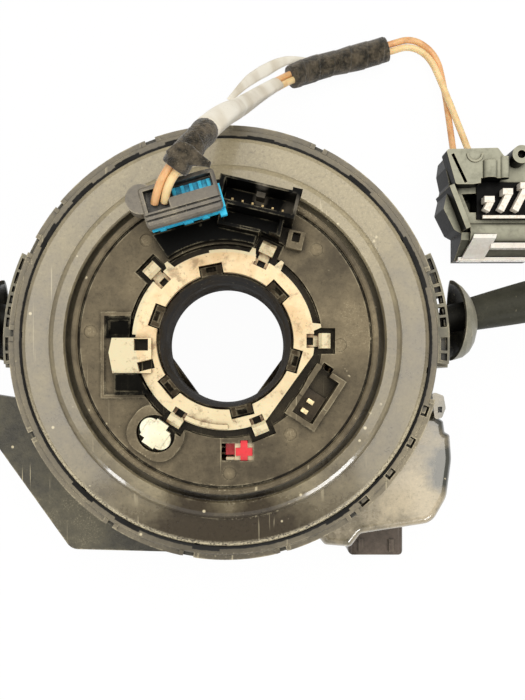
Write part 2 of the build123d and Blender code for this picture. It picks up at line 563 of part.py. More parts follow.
def mark_card():
    """Small flag under the window that shows the middle position."""
    card = block(4.7, 4.4, 44.2, 48.9) + Pos(-3.4, -1.85, 0) * block(2.4, 0.7, 44.2, 48.4)
    return Pos(MARK_AT[0] + 1.7, MARK_AT[1], 0) * card


def mark_cross():
    place = Pos(MARK_AT[0] + 1.7, MARK_AT[1], 0)
    cross = Pos(0, 0.35, 0) * block(1.8, 5.1, 48.9, 49.6) + block(4.3, 2.0, 48.9, 49.6)
    tail = Pos(-3.55, 0.5, 0) * block(2.4, 3.2, 44.2, 45.4)
    return Compound(children=[place * cross, place * tail])


def lock_plug():
    """Push button: lobed cap on a round stem."""
    cap = block(6.2, 4.6, 51.0, 52.9) + block(3.4, 7.0, 51.0, 52.9)
    for x, y in ((-2.0, 0.5), (2.0, -0.5)):
        cap += Pos(x, y, 0) * disc(2.5, 51.0, 52.7)
    cap -= Pos(2.5, 2.9, 0) * block(1.4, 1.4, 50, 60)
    cap -= Pos(-2.7, -2.9, 0) * block(1.2, 1.2, 50, 60)
    stem = disc(2.4, 45.7, 51.1) + disc(3.0, 45.7, 46.4)
    return polar(*LOCK_AT) * Rot(0, 0, 92) * (cap + stem)


def lock_spring():
    """Coil between the stem and the floor of its well."""
    wire_r = 0.25
    radius = 2.0
    height = 3.2
    path = Helix(pitch=height / 3, height=height, radius=radius)
    start = Plane(origin=path @ 0, z_dir=path % 0)
    coil = sweep(start * Circle(wire_r), path)
    return polar(*LOCK_AT) * Pos(0, 0, 42.25) * coil


# ---------------------------------------------------------------- the lead
def wire_routes():
    """Points of both wires: the middle route, one offset to each side."""
    first, second = [], []
    for point, shift in zip(LEAD_ROUTE, WIRE_OFFSETS):
        first.append(tuple(p + s for p, s in zip(point, shift)))
        second.append(tuple(p - s for p, s in zip(point, shift)))
    return {"lead_wire_orange": second, "lead_wire_tan": first}


def corner_radii(points):
    """Largest arcs that the runs allow: 0.45 of the shorter run over tan(half the turn)."""
    radii = []
    for before, corner, after in zip(points, points[1:], points[2:]):
        run_in = Vector(*corner) - Vector(*before)
        run_out = Vector(*after) - Vector(*corner)
        turn = math.radians(run_in.get_angle(run_out))
        radii.append(0.45 * min(run_in.length, run_out.length) / math.tan(turn / 2))
    return radii


def tube(points, radius):
    path = FilletPolyline(*points, radius=corner_radii(points))
    start = Plane(origin=path @ 0, z_dir=path % 0)
    return sweep(start * Circle(radius), path), path


def middle(a, b, share=0.5):
    return tuple(p + (q - p) * share for p, q in zip(a, b))


def wrapped_route(first, last, start_share, end_share):
    """Part of the middle route from inside one run to inside another."""
    route = LEAD_ROUTE
    inner = list(route[first:last + 1])
    inner[0] = middle(route[first], route[first + 1], start_share)
    inner[-1] = middle(route[last - 1], route[last], end_share)
    return inner


def slanted_bar(start, end, width, low_z, high_z):
    """Upright wall between two points in plan."""
    (x0, y0), (x1, y1) = start, end
    length = math.hypot(x1 - x0, y1 - y0)
    turn = math.degrees(math.atan2(y1 - y0, x1 - x0))
    return Pos((x0 + x1) / 2, (y0 + y1) / 2, 0) * Rot(0, 0, turn) * block(length, width, low_z, high_z)


def far_connector():
    """Loose connector that lies on the surface: winged body, ridged slide and a railed front bar."""
    low = ((66.6, 59.0), (80.5, 59.4), (82.6, 56.8), (93.5, 56.8), (93.5, 34.6), (70.8, 34.6), (68.6, 35.8),
           (65.4, 42.2), (67.0, 49.8), (66.0, 54.6))
    body = plate(low, 0, 12.0, 0.8)
    front = Polyline((34.8, 0), (34.8, 13.0), (32.6, 12.4), (27.4, 4.0), (27.4, 0), close=True)
    body += Pos(70.6, 0, 0) * extrude(Plane.YZ * make_face(front), 22.9)
    deck = ((64.9, 58.8), (80.3, 59.2), (82.2, 56.6), (82.2, 50.0), (73.0, 48.4), (67.8, 48.4))
    body += plate(deck, 11.0, 17.0, 0.7)
    body += slanted_bar((66.6, 48.2), (71.6, 35.4), 1.5, 0, 17.0)
    body += Pos(83.2, 34.8, 11.0) * Rot(0, 90, 0) * Cylinder(3.1, 20.4)
    body -= slanted_bar((66.8, 57.4), (70.8, 48.9), 0.9, 14.6, 20)
    for x, y, length, radius in ((77.9, 51.6, 7.4, 2.3), (82.3, 53.4, 6.4, 1.5)):
        rib = Pos(x, y, 16.2) * Rot(90, 0, 0) * Cylinder(radius, length)
        body += rib & block(400, 400, 8, 30)
    body += Pos(87.2, 57.2, 0) * disc(2.7, 0, 17.4) - Pos(87.2, 57.2, 0) * disc(1.2, 15.6, 20)
    arc = Pos(73.4, 57.4, 0) * (ring(1.9, 2.5, 16.6, 17.4) & Pos(0, -5, 0) * block(10, 10, 0, 30))
    body += arc
    body -= Pos(83.7, 44.5, 0) * block(17.0, 11.4, 8.0, 30)
    body -= plate(((70.9, 46.6), (73.2, 41.0), (75.4, 41.0), (75.4, 46.8)), 5.0, 30)
    for x in (69.6, 74.8):
        body -= Pos(x, 61.3, 8.0) * Rot(90, 0, 0) * Cylinder(1.3, 5.4)
    slide = Pos(83.7, 44.5, 0) * block(16.8, 11.2, 8.0, 12.4)
    slide += Pos(84.4, 39.4, 0) * block(15.2, 0.9, 12.2, 13.6)
    for k in range(4):
        foot = (77.4 + 4.3 * k, 41.0)
        reach = min(3.6 + 2.6 * k, 8.2)
        tip = (foot[0] + reach * math.sin(math.radians(27)), foot[1] + reach * math.cos(math.radians(27)))
        if tip[0] < 91.6:
            slide += slanted_bar(foot, tip, 1.9, 12.2, 15.4)
            slide += Pos(tip[0] - 0.9, tip[1], 0) * block(3.0, 1.8, 12.2, 15.9)
    bar = slanted_bar((79.6, 31.0), (93.3, 31.0), 1.6, 9.0, 12.4)
    bar += slanted_bar((71.4, 27.9), (93.3, 27.9), 1.0, 3.0, 6.2)
    skin = Polyline((34.0, 12.4), (34.0, 14.6), (32.8, 14.6), (27.2, 5.4), (27.2, 3.4), close=True)
    end = plate(((71.9, 26.0), (74.2, 35.0), (81.0, 35.0), (78.8, 26.0)), 0, 20)
    bar += Pos(71.0, 0, 0) * extrude(Plane.YZ * make_face(skin), 10.6) & end
    return body, slide, bar


def lead():
    pieces = {}
    wires = []
    for name, points in wire_routes().items():
        wire, path = tube(points, WIRE_R)
        share = wire.volume / (math.pi * WIRE_R ** 2 * path.length)
        print(name, "length", round(path.length, 1), "volume ratio", round(share, 3))
        print("  radii", [round(r, 1) for r in corner_radii(points)])
        pieces[name] = wire
        wires.append(wire)
    covers = {
        "lead_tape_near": (wrapped_route(*NEAR_TAPE), TAPE_R),
        "lead_label": (wrapped_route(*LABEL), LABEL_R),
        "lead_tape_far": (wrapped_route(*FAR_TAPE), FAR_TAPE_R),
    }
    for name, (points, radius) in covers.items():
        cover, path = tube(points, radius)
        for wire in wires:
            cover -= wire
        print(name, "length", round(path.length, 1))
        pieces[name] = cover
    return pieces


# ---------------------------------------------------------------- build and save
def main():
    pieces = {
        "switch_carrier": switch_carrier(),
        "stator_housing": stator_housing(),
        "stator_cover": stator_cover(),
        "flat_cable": flat_cable(),
        "circuit_board": circuit_board(),
        "board_parts": board_parts(),
        "vehicle_socket": vehicle_socket(),
        "vehicle_pins": vehicle_pins(),
        "side_cover": side_cover(),
        "carrier_screws": carrier_screws(),
        "rotor_disc": rotor_disc(),
        "ring_latch": ring_latch(),
        "column_sleeve": column_sleeve(),
        "retaining_ring": retaining_ring(),
        "wheel_header": wheel_header(),
        "header_pins": header_pins(),
        "airbag_plug": airbag_plug(),
        "signal_contacts": signal_contacts(),
        "mark_card": mark_card(),
        "mark_cross": mark_cross(),
        "lock_plug": lock_plug(),
        "lock_spring": lock_spring(),
    }
    lock_bar, lock_comb = plug_lock()
    pieces["plug_lock"] = lock_bar
    pieces["plug_comb"] = lock_comb
    for side, hand in ((1, "right"), (-1, "left")):
        pieces[f"{hand}_switch_block"] = switch_block(side)
        pieces[f"{hand}_cradle"] = cradle(side)
        pieces[f"{hand}_stalk_pin"] = stalk_pin(side)
        pieces[f"{hand}_stalk"] = stalk(side)
        pieces[f"{hand}_dome"] = dome(side)
    body, slide, bar = far_connector()
    pieces["far_connector_body"] = body
    pieces["far_connector_slide"] = slide
    pieces["far_connector_bar"] = bar
    pieces.update(lead())
    pieces["airbag_plug"] -= pieces["lead_wire_orange"] + pieces["lead_wire_tan"]
    pieces["vehicle_socket"] -= pieces["vehicle_pins"]
    pieces["far_connector_body"] -= pieces["far_connector_slide"] + pieces["far_connector_bar"]
    for name, shape in pieces.items():
        save(shape, name)


main()
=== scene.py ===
# %% [markdown]
# # Steering clock spring, dressed for its portrait
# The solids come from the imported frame. They have the true size and the true joints already,
# so this file only adds what a mould, a knife and some years behind a steering wheel add:
# finishes, dust, scratches, the cloth tape, the paper label and the wires of the lead.
# The frame's axes are kept: +Z looks at the driver, +X to the right stalk, and the bore of the
# clock spring stands on the Z axis. Blender's lengths are metres. Sizes read off the part are
# written in millimetres and multiplied by MM where they are used.

import math

import bmesh
import bpy
import numpy as np
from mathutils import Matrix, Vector


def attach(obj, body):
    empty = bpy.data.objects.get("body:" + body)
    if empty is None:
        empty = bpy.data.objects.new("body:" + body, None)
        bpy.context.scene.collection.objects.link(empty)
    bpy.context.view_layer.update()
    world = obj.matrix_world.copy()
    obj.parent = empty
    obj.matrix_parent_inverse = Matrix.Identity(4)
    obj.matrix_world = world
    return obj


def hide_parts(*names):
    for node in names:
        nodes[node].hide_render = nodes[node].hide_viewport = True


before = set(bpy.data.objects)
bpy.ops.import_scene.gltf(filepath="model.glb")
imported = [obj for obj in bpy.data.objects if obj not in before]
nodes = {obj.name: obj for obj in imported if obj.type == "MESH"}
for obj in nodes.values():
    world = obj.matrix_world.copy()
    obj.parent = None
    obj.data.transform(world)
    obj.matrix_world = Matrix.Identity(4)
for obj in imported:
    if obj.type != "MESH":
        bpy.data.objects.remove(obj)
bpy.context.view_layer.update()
bpy.ops.object.select_all(action="DESELECT")
MM = 0.001


def polar(radius, angle):
    """x and y of a point that lies at an angle, in degrees, round the bore axis."""
    return radius * math.cos(math.radians(angle)), radius * math.sin(math.radians(angle))


def scaled(numbers, factor=MM):
    """Every number times a factor; without one, millimetres become metres."""
    return [factor * number for number in numbers]


# %% [markdown]
# ## Camera
# The object lies on its back and the camera looks straight down on the steering wheel side.
# A lens shift, as on a view camera, keeps the film parallel to the face, so circles stay round,
# while the module sits a little left of and below the middle of the picture.

# %% Camera
PICTURE = (525, 700)
FOCAL_PIXELS = 784.0
EYE = Vector(scaled((5.2, -10.5, 250.0)))
FOOT_PIXEL = (245.4, 382.2)
SENSOR = 36.0
NEAREST = 0.01

lens = bpy.data.cameras.new("camera")
lens.sensor_fit = "HORIZONTAL"
lens.sensor_width = SENSOR
lens.lens = FOCAL_PIXELS / PICTURE[0] * SENSOR
lens.shift_x = (PICTURE[0] / 2 - FOOT_PIXEL[0]) / PICTURE[0]
lens.shift_y = (FOOT_PIXEL[1] - PICTURE[1] / 2) / PICTURE[0]
lens.clip_start = NEAREST
camera = bpy.data.objects.new("camera", lens)
camera.location = EYE
bpy.context.scene.collection.objects.link(camera)
bpy.context.scene.camera = camera
print("lens", round(lens.lens, 1), "mm")

# %% [markdown]
# ## Shader sums written as Python
# A finish is mostly arithmetic: dust times a mask, plus a scratch, minus what was rubbed off.
# Wrapping a socket in a small class lets that arithmetic be written as it is thought.

# %% The socket class
class Value:
    """A shader socket that takes part in Python sums."""

    def __init__(self, finish, socket):
        self.finish = finish
        self.socket = socket

    def math(self, operation, first, second):
        return self.finish.node("Math", {"operation": operation}, {0: first, 1: second})

    def __add__(self, other):
        return self.math("ADD", self, other)

    def __sub__(self, other):
        return self.math("SUBTRACT", self, other)

    def __rsub__(self, other):
        return self.math("SUBTRACT", other, self)

    def __mul__(self, other):
        return self.math("MULTIPLY", self, other)

    __radd__ = __add__
    __rmul__ = __mul__


# %% The finish class
class Finish:
    """One material: a Principled surface, and one method that makes any other node."""

    def __init__(self, name, **constants):
        self.material = bpy.data.materials.new(name)
        self.material.use_nodes = True
        self.tree = self.material.node_tree
        self.surface = self.tree.nodes["Principled BSDF"]
        for socket, number in constants.items():
            self.surface.inputs[socket.replace("_", " ")].default_value = number

    def node(self, kind, settings=None, values=None, output=0):
        made = self.tree.nodes.new("ShaderNode" + kind)
        for setting, choice in (settings or {}).items():
            setattr(made, setting, choice)
        for socket, value in (values or {}).items():
            if isinstance(value, Value):
                self.tree.links.new(value.socket, made.inputs[socket])
            else:
                made.inputs[socket].default_value = value
        return Value(self, made.outputs[output])

    def place(self, stretch=(1, 1, 1), turn=0.0):
        """Object coordinates, stretched and turned about Z."""
        point = self.node("TexCoord", output="Object")
        return self.node("Mapping", values={"Vector": point, "Scale": stretch, "Rotation": (0, 0, turn)})

    def flat_place(self):
        """Object coordinates with the height taken out."""
        point = self.node("TexCoord", output="Object")
        return self.node("VectorMath", {"operation": "MULTIPLY"}, {0: point, 1: (1, 1, 0)})

    def along(self, axis):
        """One of the object coordinates, in metres."""
        point = self.node("TexCoord", output="Object")
        return self.node("SeparateXYZ", values={"Vector": point}, output=axis)

    def bore_distance(self):
        """Distance from the bore axis, in metres."""
        flat = self.flat_place()
        return self.node("VectorMath", {"operation": "LENGTH"}, {0: flat}, output="Value")

    def noise(self, size, detail=3.0, rough=0.55, stretch=(1, 1, 1), turn=0.0):
        """Cloudy pattern from 0 to 1; size is the width of one cloud."""
        spot = self.place(stretch, turn)
        values = {"Vector": spot, "Scale": 1 / size, "Detail": detail, "Roughness": rough}
        return self.node("TexNoise", values=values)

    def shade(self, distance, samples=6):
        """1 in the open, falling to 0 in corners and hollows of that size."""
        return self.node("AmbientOcclusion", {"samples": samples}, {"Distance": distance}, output="AO")

    def within(self, value):
        """A value held between 0 and 1."""
        return self.node("Clamp", values={"Value": value})

    def ramp(self, value, low, high, start=0.0, end=1.0):
        """start below low, end above high, smooth between."""
        limits = {"Value": value, "From Min": low, "From Max": high, "To Min": start, "To Max": end}
        return self.node("MapRange", {"interpolation_type": "SMOOTHSTEP"}, limits)

    def mix(self, factor, first, second):
        """Colour mix."""
        return self.node("Mix", {"data_type": "RGBA"}, {0: factor, 6: first, 7: second}, output=2)

    def feed(self, socket, value):
        """Link a value to a socket of the surface."""
        self.tree.links.new(value.socket, self.surface.inputs[socket])

    def bump(self, height, depth):
        """Relief from a pattern, as deep as depth where the pattern goes from 0 to 1."""
        relief = {"Strength": 1.0, "Distance": depth, "Height": height}
        self.feed("Normal", self.node("Bump", values=relief))


def rgb(red, green, blue):
    """Screen colour, 0 to 255, as the linear colour that a shader takes."""
    def linear(level):
        level /= 255
        return level / 12.92 if level <= 0.04045 else ((level + 0.055) / 1.055) ** 2.4
    return (linear(red), linear(green), linear(blue), 1.0)


def dimmed(colour, factor):
    """A colour made darker or lighter."""
    return (*scaled(colour[:3], factor), 1.0)


DUST = rgb(204, 192, 160)
PAINTED_SHADE_BLACK = rgb(12, 11, 9)

# %% [markdown]
# ## Moulded plastic that has been used
# The housings are glass filled nylon: matt, slightly grained, and greyed by dust and hands.
# A painted image of grime would fit one part only. Patterns in space fit every part from every
# side, so the finish is built from them: broad clouds of haze, fine grain, thin scratches in a few
# directions and sparse bright specks. Painted shade darkens the corners and hollows to near black
# through Ambient Occlusion, and worn edges come from the Bevel node, whose rounded normal leaves
# the true one only near an edge.

# %% Layers shared by the plastics
SCRATCH_WIDTH = 0.0011
SCRATCH_TURNS = (0.3, 1.25, 2.2)
DRAWN_OUT = (1.0, 0.016, 1.0)


def scratches(finish, amount):
    """Thin bright lines: noise drawn out sixty times along each of three directions."""
    total = 0.0
    for turn in SCRATCH_TURNS:
        line = finish.noise(SCRATCH_WIDTH, 2.0, 0.5, DRAWN_OUT, turn)
        patch = finish.noise(0.013 + 0.004 * turn, 1.0)
        total = finish.ramp(line, 0.69, 0.75) * finish.ramp(patch, 0.5, 0.62) + total
    return total * amount


def specks(finish, size, share, amount):
    """Small dots that sit in some of the cells of a Voronoi pattern."""
    place = finish.place()
    cell = finish.node("TexVoronoi", values={"Vector": place, "Scale": 1 / size, "Randomness": 1.0})
    patch = finish.noise(0.009, 2.0)
    dots = finish.ramp(cell, 0.10, 0.17, 1.0, 0.0)
    return dots * finish.ramp(patch, 1 - share, 1.05 - share) * amount


def near_edges(finish, radius):
    """How much the rounded normal differs from the true one: 0 on a flat, about 0.3 on an edge."""
    soft = finish.node("Bevel", {"samples": 6}, {"Radius": radius})
    true = finish.node("NewGeometry", output="Normal")
    likeness = finish.node("VectorMath", {"operation": "DOT_PRODUCT"}, {0: soft, 1: true}, output="Value")
    return 1 - likeness


def spot(finish, x, y, reach):
    """1 at a place seen from the front, in millimetres, fading to 0 at its reach."""
    away = finish.node("VectorMath", {"operation": "DISTANCE"},
                       {0: finish.flat_place(), 1: (x * MM, y * MM, 0)}, output="Value")
    return finish.ramp(away, 0.0, reach * MM, 1.0, 0.0)


# %% Painted gap shadow and dust on round edges
JOGS_PER_RADIAN = 7.5
JOG_DEPTH = 0.0006
RAGGED_DEPTH = 0.0005
LINE_INSET = 0.0003
LINE_FADE = 0.00018


def painted_gap_shadow(finish, radius):
    """Painted gap shadow round the bore, out to a radius in millimetres, with jogs where tabs snap in."""
    angle = finish.node("Math", {"operation": "ARCTAN2"}, {0: finish.along("Y"), 1: finish.along("X")})
    part = finish.node("Math", {"operation": "FLOOR"}, {0: angle * JOGS_PER_RADIAN})
    chance = finish.node("TexWhiteNoise", {"noise_dimensions": "1D"}, {"W": part})
    jog = finish.ramp(chance, 0.68, 0.7)
    ragged = finish.noise(0.0012, 3.0, 0.6) * RAGGED_DEPTH
    reach = jog * JOG_DEPTH + ragged + (radius * MM - LINE_INSET)
    return finish.ramp(finish.bore_distance() - reach, 0.0, LINE_FADE, 1.0, 0.0)


def dust_ring(finish, radius):
    """Where dust gathers on the lower half of a round edge, its radius in millimetres."""
    away = finish.bore_distance()
    inner = finish.ramp(away, (radius - 1.6) * MM, (radius - 0.2) * MM)
    outer = finish.ramp(away, radius * MM, (radius + 0.5) * MM, 1.0, 0.0)
    lower_half = finish.ramp(finish.along("Y"), -0.030, -0.002, 1.0, 0.0)
    return inner * outer * lower_half


# %% [markdown]
# The recipe takes the two colours between which the haze goes, and then only what sets a piece
# apart. rough and shine are the surface under the dirt, coat is a gloss over it. grain is the
# depth of the relief in millimetres. wear, dust and scratch say how much of each there is.
# Another number sets how strongly the corners are painted dark as shade, and hollow, in
# millimetres, how wide a corner still takes that painted shade. blotch hardens the clouds.
# The spots add haze to a round place, or take it off: x, y, reach in millimetres and how much;
# on several parts they are painted sheen and painted shade. A radius for the gap draws a painted
# black shadow line round the bore.

# %% The recipe for moulded plastic
def haze(finish, cloud, smear, blotch, haze_and_light_spots):
    """How hazed a place is, from 0 to 1: clouds, and spots that add or take away haze; on some parts they
    are painted sheen and painted shade.
    """
    half = 0.16 / blotch
    film = finish.ramp(cloud * 0.6 + smear * 0.4, 0.5 - half, 0.5 + half)
    for x, y, reach, amount in haze_and_light_spots:
        film = film + spot(finish, x, y, reach) * amount
    return finish.within(film)


def moulded(name, clean, hazy, rough=0.45, grain=0.03, wear=0.5, dust=0.5, scratch=0.4, coat=0.0,
            shine=0.5, corner_shade=0.7, haze_and_light_spots=(), hollow=4.5, blotch=1.0, gap_shadow_r=0.0, dusty_rim=0.0):
    """Dark moulded plastic: haze, grain, painted shade in corners, scratches, dust and worn edges."""
    finish = Finish(name, Coat_Roughness=0.08, Coat_IOR=1.7, Specular_IOR_Level=shine,
                    IOR=min(1.5, 1.15 + 0.7 * shine))
    cloud = finish.noise(0.030, 5.0, 0.62)
    smear = finish.noise(0.005, 4.0, 0.65)
    film = haze(finish, cloud, smear, blotch, haze_and_light_spots)
    body = finish.mix(film, clean, hazy)
    fine = finish.noise(0.0008, 4.0, 0.75)
    pale_grains = finish.mix(film, dimmed(clean, 1.8), dimmed(hazy, 1.8))
    body = finish.mix(finish.ramp(fine, 0.5, 0.8) * 0.4, body, pale_grains)
    body = finish.mix(finish.ramp(fine, 0.5, 0.22) * 0.5, body, dimmed(clean, 0.35))
    # Painted shade: Ambient Occlusion darkens corners and hollows towards near black.
    body = finish.mix(finish.ramp(finish.shade(hollow * MM), 0.86, 0.3) * corner_shade, body, PAINTED_SHADE_BLACK)
    edge = near_edges(finish, 0.0009)
    crumbs = finish.noise(0.00045, 2.0, 0.6)
    dusty_edge = finish.ramp(edge, 0.002, 0.05) * finish.ramp(cloud, 0.5, 0.64) * 0.7
    grit = finish.ramp(crumbs, 0.56, 0.64) * (dusty_edge + finish.ramp(film, 0.75, 1.0) * 0.2)
    if dusty_rim:
        grit = grit + dust_ring(finish, dusty_rim) * finish.ramp(crumbs, 0.4, 0.52)
    rubbed = finish.ramp(edge, 0.1, 0.22) * finish.ramp(smear, 0.44, 0.62)
    marks = scratches(finish, scratch) + specks(finish, 0.003, 0.42, dust)
    marks = marks + specks(finish, 0.0014, 0.34, dust * 0.4)
    marks = marks + rubbed * wear + grit * dust
    body = finish.mix(finish.within(marks), body, DUST)
    roughness = finish.ramp(film + fine * 0.3, 0.2, 1.2, rough - 0.07, rough + 0.14)
    # Painted shadow of the gap between cover and housing rim: a black line, made rougher too.
    if gap_shadow_r:
        grime = painted_gap_shadow(finish, gap_shadow_r)
        body = finish.mix(grime, body, PAINTED_SHADE_BLACK)
        roughness = roughness + grime * 0.45
    finish.feed("Base Color", body)
    finish.feed("Roughness", roughness)
    if coat:
        finish.feed("Coat Weight", finish.ramp(film, 0.0, 1.0, coat, coat * 0.5))
    finish.bump(fine + marks * 0.4, grain * MM)
    return finish.material


# %% [markdown]
# The rotor is matt, with the pale round marks that ejector pins leave; a painted highlight makes
# its right side lighter and painted shade darkens its upper right and bottom. The cover is glossy
# and dusty along its lower rim; painted sheen lightens its top and upper right, three pale patches
# lie on its lower step, and painted shade darkens its bottom. The housing round it has painted
# shade at the bottom, is lighter at the lower right, and has a painted black shadow line where
# the two part.

# %% The three round parts
EJECTOR_MARKS = ((-2.0, 29.4), (-55.0, 29.0), (128.0, 32.6), (45.0, 33.0), (-88.0, 33.8), (176.0, 34.4))
MARK_REACH = 2.9
pale_marks = tuple((*polar(radius, angle), MARK_REACH, 0.8) for angle, radius in EJECTOR_MARKS)
COVER_RIM_R = 53.2
PARTING_R = 54.5

finishes = {
    # Rotor spots: a painted highlight at the right, painted shade at the upper right and bottom; the pale
    # marks are ejector marks.
    "rotor": moulded("rotor_plastic", rgb(78, 70, 56), rgb(128, 116, 93), rough=0.5, grain=0.05,
                     dust=0.9, scratch=0.6, shine=0.25, corner_shade=0.85, blotch=0.7,
                     haze_and_light_spots=((33, 4, 16, 0.7), (30, 22, 14, -0.5), (0, -34, 22, -0.5)) + pale_marks),
    # Cover spots: painted shade at the bottom, pale patches on the lower step, painted sheen at the top
    # and upper right.
    "cover": moulded("cover_plastic", rgb(66, 58, 46), rgb(156, 144, 114), rough=0.3, grain=0.02,
                     wear=0.6, dust=1.0, scratch=0.5, coat=0.6, shine=0.7, corner_shade=0.8, blotch=0.4,
                     dusty_rim=COVER_RIM_R,
                     haze_and_light_spots=((0, -58, 44, -1.2), (-18, -39, 14, 0.5), (0, -42.5, 10, 0.6),
                            (18, -39, 14, 0.5), (-46, 6, 40, -0.1), (0, 34, 80, 0.5),
                            (30, 44, 46, 0.4))),
    # Housing spots: painted shade at the bottom, lighter at the lower right; the radius places the painted
    # gap shadow.
    "housing": moulded("housing_plastic", rgb(84, 77, 62), rgb(130, 120, 98), rough=0.42, wear=0.8,
                       dust=1.0, scratch=0.5, shine=0.6, corner_shade=0.8, blotch=0.7, gap_shadow_r=PARTING_R,
                       haze_and_light_spots=((0, -57, 34, -0.7), (44, -36, 30, 0.4))),
}

# %% The other dark mouldings
finishes |= {
    "carrier": moulded("carrier_plastic", rgb(44, 42, 34), rgb(96, 91, 74), rough=0.46, grain=0.16,
                       wear=0.7, dust=1.0, scratch=0.9),
    "block": moulded("block_plastic", rgb(92, 88, 74), rgb(130, 125, 106), wear=0.8, corner_shade=1.0),
    # Header spots: the first clears the haze everywhere, the second makes the right end wall lighter, the
    # third is a painted highlight on the key in the pit.
    "header": moulded("header_plastic", rgb(9, 9, 8), rgb(104, 98, 88), grain=0.02, wear=0.35, dust=0.1,
                      scratch=0.1, shine=0.15, corner_shade=0.2,
                      haze_and_light_spots=((0, 0, 400, -1.1), (16.6, 32.6, 4.6, 1.7), (9.0, 35.6, 3.0, 2.6))),
    "dark": moulded("dark_plastic", rgb(8, 8, 7), rgb(20, 19, 16), grain=0.02, wear=0.25, dust=0.05,
                    scratch=0.06, shine=0.08),
    "socket": moulded("socket_plastic", rgb(56, 49, 42), rgb(98, 86, 76), rough=0.3, grain=0.02,
                      wear=0.15, dust=0.2, scratch=0.2, coat=0.5, shine=0.4),
    # Stalks and domes: wide hollows, so painted corner shade darkens their insides.
    "lever": moulded("lever_plastic", rgb(42, 42, 33), rgb(60, 59, 49), grain=0.04, wear=0.2, dust=0.3,
                     scratch=0.3, shine=0.3, corner_shade=1.0, hollow=12.0),
    "collar": moulded("collar_plastic", rgb(108, 107, 93), rgb(140, 136, 120), rough=0.36, dust=0.6,
                      corner_shade=1.0, hollow=14.0),
    "plug": moulded("plug_plastic", rgb(86, 81, 73), rgb(118, 111, 99), rough=0.4, grain=0.02, dust=0.4,
                    corner_shade=1.0),
    "floor": moulded("floor_plastic", rgb(64, 55, 44), rgb(104, 92, 74), rough=0.5, grain=0.05,
                     wear=0.3, dust=0.6, shine=0.3, corner_shade=0.2),
    "sleeve": moulded("sleeve_plastic", rgb(26, 22, 17), rgb(86, 75, 59), rough=0.6, wear=0.3, dust=0.3,
                      scratch=0.2, shine=0.08, corner_shade=1.0),
    # Side cover: the pale haze colour and its spots are painted reflections, dark at the right edge and
    # pale in the middle.
    "gloss": moulded("gloss_plastic", rgb(48, 48, 36), rgb(180, 166, 138), rough=0.2, grain=0.01,
                     wear=0.3, dust=0.7, scratch=0.5, coat=1.0, shine=0.8, blotch=0.8,
                     haze_and_light_spots=((61.5, -35, 9, -1.2), (52, -41, 13, 0.6), (62, -22, 8, -0.8),
                            (43, -49, 8, 0.3))),
}
print(len(finishes), "moulded finishes")

# %% [markdown]
# ## Clean plastics, metal and paper
# The snap ring is undyed nylon that has yellowed: warm ivory, with brown dirt where parts meet
# and paler hooks. The other small pieces keep their dye. Such plastic lets a little light in, so
# the recipe uses subsurface scattering, which softens thin edges as the real material does.

# %% The recipe for dyed plastic
HOOKS_START_R = 0.0222
HOOKS_FULL_R = 0.0229
CORNER_SIZE = 0.0022


def dyed(name, colour, shade, dirt, rough=0.45, grime=0.5, bleed=0.1, pale=None):
    """Light or coloured plastic: mottled, with grime in spots and corners; pale is for the hooks."""
    finish = Finish(name, Subsurface_Weight=bleed, Subsurface_Scale=0.0015, Specular_IOR_Level=0.4)
    cloud = finish.noise(0.006, 4.0, 0.6)
    stain = finish.noise(0.0035, 5.0, 0.7)
    fleck = finish.noise(0.0011, 4.0, 0.72)
    body = finish.mix(finish.ramp(cloud, 0.35, 0.7), colour, shade)
    if pale:
        hooks = finish.ramp(finish.bore_distance(), HOOKS_START_R, HOOKS_FULL_R)
        lower = finish.ramp(finish.along("Y"), -0.022, 0.012, 0.75, 0.0)
        body = finish.mix(finish.within(hooks * 0.8 + lower), body, pale)
    corner_dirt = finish.ramp(finish.shade(CORNER_SIZE), 0.92, 0.3) * finish.ramp(fleck, 0.22, 0.55)
    soil = corner_dirt + finish.ramp(fleck, 0.62, 0.7) * 0.6
    soil = soil + finish.ramp(stain, 0.52, 0.68) * 0.55
    body = finish.mix(finish.within(soil * grime), body, dirt)
    finish.feed("Base Color", body)
    finish.feed("Roughness", finish.ramp(fleck, 0.3, 0.7, rough - 0.08, rough + 0.12))
    finish.bump(fleck, 0.00002)
    return finish.material


# %% Dyed pieces
finishes |= {
    "ivory": dyed("ivory_plastic", rgb(242, 218, 174), rgb(222, 190, 142), rgb(116, 84, 54), rough=0.42,
                  grime=1.0, pale=rgb(218, 205, 168)),
    "white": dyed("white_plastic", rgb(242, 238, 214), rgb(230, 223, 192), rgb(120, 104, 76), rough=0.4,
                  grime=0.7),
    "blue": dyed("blue_plastic", rgb(40, 206, 246), rgb(20, 188, 234), rgb(8, 60, 92), rough=0.4),
    "red": dyed("red_plastic", rgb(226, 44, 54), rgb(206, 30, 42), rgb(126, 24, 28), rough=0.4, grime=0.3),
    "cream": dyed("cream_card", rgb(236, 222, 188), rgb(222, 200, 164), rgb(150, 116, 92), rough=0.6,
                  grime=0.3),
    "board": dyed("board_green", rgb(36, 88, 58), rgb(30, 74, 48), rgb(18, 40, 28), rough=0.35, grime=0.3,
                  bleed=0.0),
    "film": dyed("cable_film", rgb(196, 160, 104), rgb(178, 142, 88), rgb(96, 70, 44), rough=0.3,
                 grime=0.2, bleed=0.0),
    # The bar is white as a painted highlight: it stands for reflections on glossy black rails.
    "highlight_white": dyed("painted_highlight_plastic", rgb(252, 248, 240), rgb(240, 231, 218), rgb(120, 108, 92), rough=0.25,
                  grime=0.35, bleed=0.05),
}

# %% [markdown]
# The loose connector is paler on what faces up and lies in the open, and its sides are black. The Z
# part of the surface normal tells the two apart. Its slide is black, and a height divides it from
# white rib tops that are painted highlights, so one piece has two colours.

